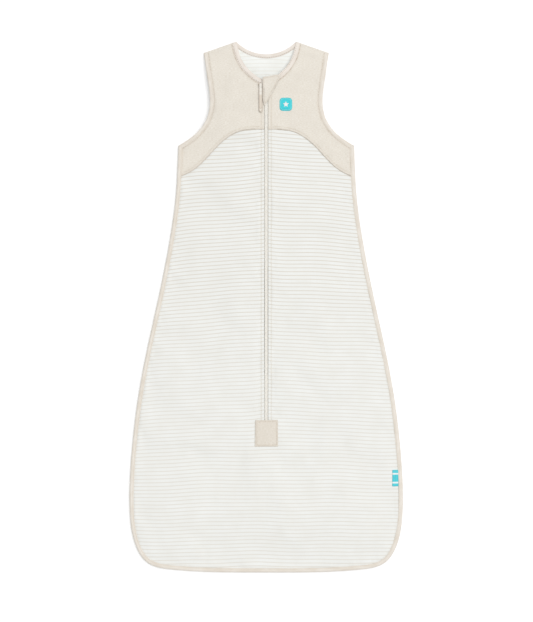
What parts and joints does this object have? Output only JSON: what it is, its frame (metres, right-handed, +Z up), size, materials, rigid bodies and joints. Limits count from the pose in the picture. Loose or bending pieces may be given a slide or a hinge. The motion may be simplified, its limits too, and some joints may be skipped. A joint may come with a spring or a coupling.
{
  "type": "baby sleeping bag",
  "caption": "Sleeveless zip-front baby sleeping bag lying flat: striped body, plain yoke and bindings; the zip slides down and both fronts fold open.",
  "frame": {"origin": "under the middle of the bag, on the surface it lies on", "axes": "+X across the bag to the viewer's right, +Y to the head end, +Z up out of the front"},
  "size_m": [0.4376, 0.85, 0.0217],
  "materials": {
    "striped_cotton": "woven, matt, thin oatmeal stripes on white",
    "oatmeal_cotton": "fine melange jersey, matt",
    "binding_tape": "folded melange binding, matt",
    "lining_cotton": "soft white, faint stripes, matt",
    "zip_tape": "woven polyester tape",
    "zip_coil": "polyester coil, satin",
    "zip_metal": "coated die-cast zinc, satin",
    "pull_ribbon": "grosgrain ribbon",
    "badge_print": "soft raised print, matt",
    "label_ribbon": "woven satin ribbon"
  },
  "bodies": {
    "root": {"back_panel": "striped_cotton", "back_yoke": "oatmeal_cotton", "back_lining": "lining_cotton", "front_panel": "striped_cotton", "front_yoke_left": "oatmeal_cotton", "front_yoke_right": "oatmeal_cotton", "front_lining": "lining_cotton", "edge_binding": "binding_tape", "armhole_binding_left": "binding_tape", "armhole_binding_right": "binding_tape", "neck_binding_back": "binding_tape", "zip_tape_end": "zip_tape", "bottom_stop": "zip_metal", "zip_patch": "oatmeal_cotton", "side_label": "label_ribbon"},
    "slider": {"slider_body": "zip_metal", "slider_crown": "zip_metal"},
    "pull": {"pull_pin": "zip_metal", "pull_ribbon": "pull_ribbon"},
    "lapel_left": {"front_panel_lapel_left": "striped_cotton", "front_yoke_lapel_left": "oatmeal_cotton", "front_lining_lapel_left": "lining_cotton", "neck_binding_left": "binding_tape", "zip_tape_left": "zip_tape", "zip_chain_left": "zip_coil", "top_stop_left": "zip_metal"},
    "lapel_right": {"front_panel_lapel_right": "striped_cotton", "front_yoke_lapel_right": "oatmeal_cotton", "front_lining_lapel_right": "lining_cotton", "neck_binding_right": "binding_tape", "zip_tape_right": "zip_tape", "zip_chain_right": "zip_coil", "top_stop_right": "zip_metal", "zip_guard": "lining_cotton", "chest_badge": "badge_print"},
    "chin_guard": {"chin_guard": "oatmeal_cotton"}
  },
  "joints": [
    {"name": "slider", "type": "slide", "parent": "root", "child": "slider", "axis": [0, -1, 0], "range_m": [0, 0.523]},
    {"name": "pull", "type": "hinge", "parent": "slider", "child": "pull", "pos_m": [0, 0.355, 0.0185], "axis": [-1, 0, 0], "range_deg": [0, 170]},
    {"name": "lapel_left", "type": "hinge", "parent": "root", "child": "lapel_left", "pos_m": [-0.014, -0.18, 0.0161], "axis": [0.057, -0.9984, 0], "range_deg": [0, 135]},
    {"name": "lapel_right", "type": "hinge", "parent": "root", "child": "lapel_right", "pos_m": [0.014, -0.18, 0.0161], "axis": [0.057, 0.9984, 0], "range_deg": [0, 135]},
    {"name": "chin_guard", "type": "hinge", "parent": "lapel_right", "child": "chin_guard", "pos_m": [0.0245, 0.371, 0.0164], "axis": [0.4472, 0.8944, 0], "range_deg": [0, 85]}
  ],
  "couplings": [
    {"joint": "lapel_left", "follows": "slider", "rad_per_m": 4.505},
    {"joint": "lapel_right", "follows": "slider", "rad_per_m": 4.505}
  ]
}
